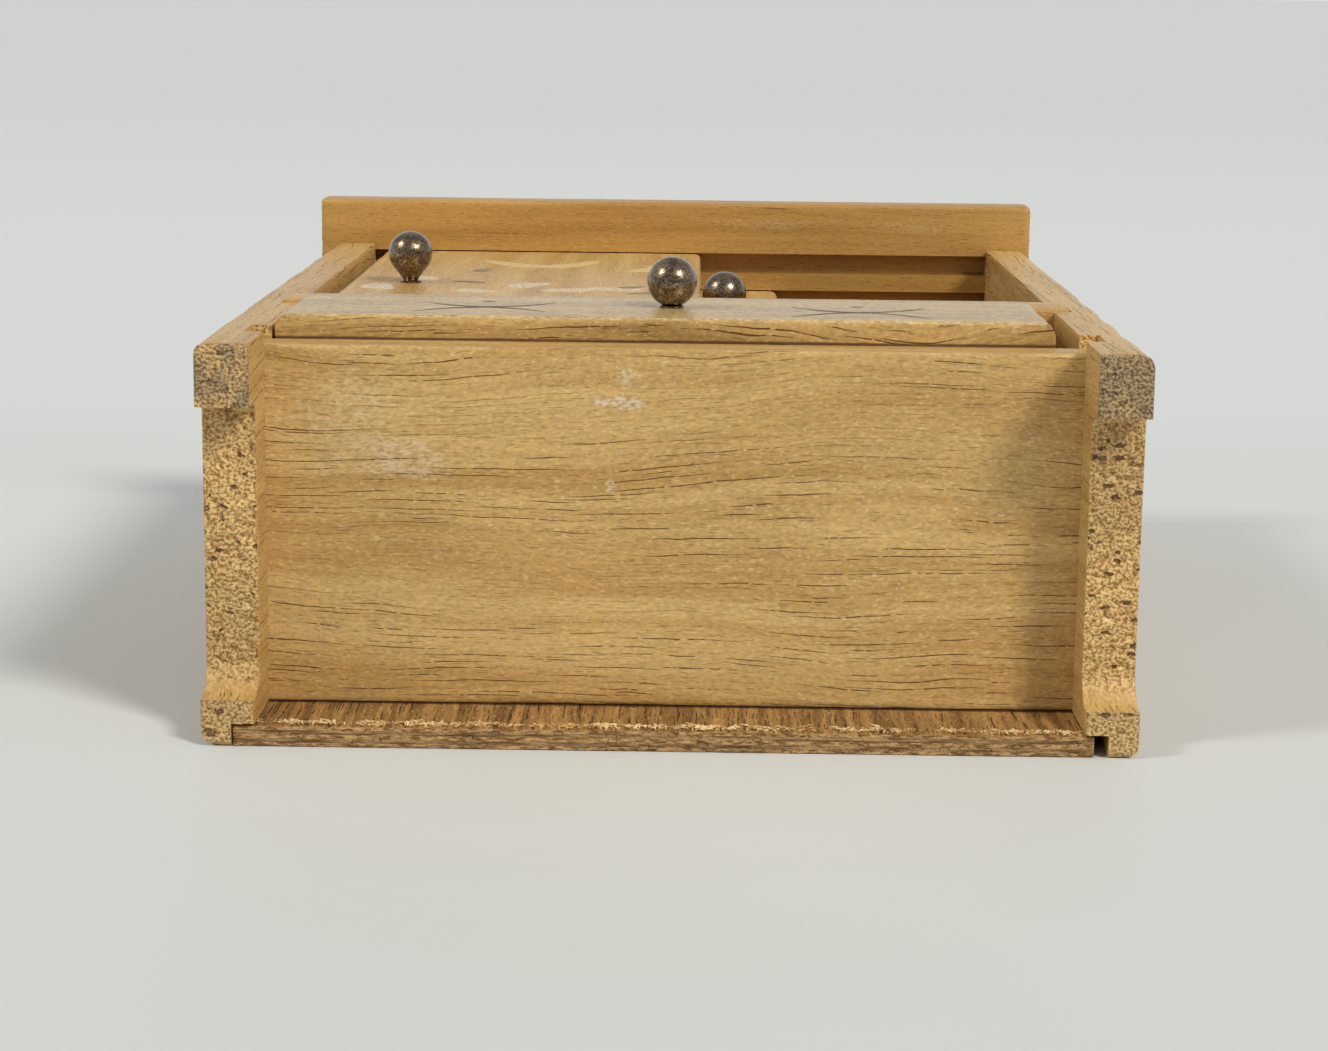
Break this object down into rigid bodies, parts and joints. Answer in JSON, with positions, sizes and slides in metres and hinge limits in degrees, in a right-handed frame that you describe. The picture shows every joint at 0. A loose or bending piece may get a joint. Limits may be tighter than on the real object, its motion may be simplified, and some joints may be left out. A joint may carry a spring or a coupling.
{
  "type": "wooden puzzle box",
  "caption": "Small wooden cabinet puzzle box lying on its plywood back, with sliding doors in grooves, a drawer with a ball knob, and a hidden drop peg lock.",
  "frame": {"origin": "middle of the cabinet's outline seen from the front, on the surface that its plywood back lies on", "axes": "+Z out of the cabinet's front, with the knobs; +Y from the feet to the top board; +X to the right, seen from the front with the top board away"},
  "size_m": [0.115, 0.139, 0.0563],
  "materials": {
    "carcass_wood": "oiled, open-pored, worn edges",
    "top_wood": "oiled, golden tan",
    "door_wood": "satin, with a faint painted motif",
    "drawer_front_wood": "satin, with two thin dark line motifs",
    "drawer_box_wood": "raw, planed",
    "plywood": "raw, brown, frayed at the lower end",
    "peg_wood": "turned, waxed",
    "knob_brass": "dark antique, tarnished",
    "pin_steel": "dull"
  },
  "bodies": {
    "cabinet": {"left_side": "carcass_wood", "right_side": "carcass_wood", "top_board": "top_wood", "bottom_board": "carcass_wood", "middle_shelf": "carcass_wood", "back_panel": "plywood", "back_panel_brads": "pin_steel", "top_board_brads": "pin_steel"},
    "left_door": {"left_door": "door_wood", "left_door_knob": "knob_brass", "left_door_knob_pin": "pin_steel"},
    "right_door": {"right_door": "door_wood", "right_door_knob": "knob_brass", "right_door_knob_pin": "pin_steel"},
    "drawer": {"drawer_front": "drawer_front_wood", "drawer_left_side": "drawer_box_wood", "drawer_right_side": "drawer_box_wood", "drawer_back": "drawer_box_wood", "drawer_bottom": "plywood", "drawer_knob": "knob_brass", "drawer_knob_pin": "pin_steel", "drawer_brads": "pin_steel"},
    "lock_peg": {"lock_peg": "peg_wood"}
  },
  "joints": [
    {"name": "left_door_slide", "type": "slide", "parent": "cabinet", "child": "left_door", "axis": [-1, 0, 0], "range_m": [0, 0.0015]},
    {"name": "right_door_slide", "type": "slide", "parent": "cabinet", "child": "right_door", "axis": [1, 0, 0], "range_m": [0, 0.0335]},
    {"name": "drawer_slide", "type": "slide", "parent": "cabinet", "child": "drawer", "axis": [0, 0, 1], "range_m": [0, 0.034]},
    {"name": "lock_peg_slide", "type": "slide", "parent": "cabinet", "child": "lock_peg", "axis": [0, 1, 0], "range_m": [-0.004, 0]}
  ]
}
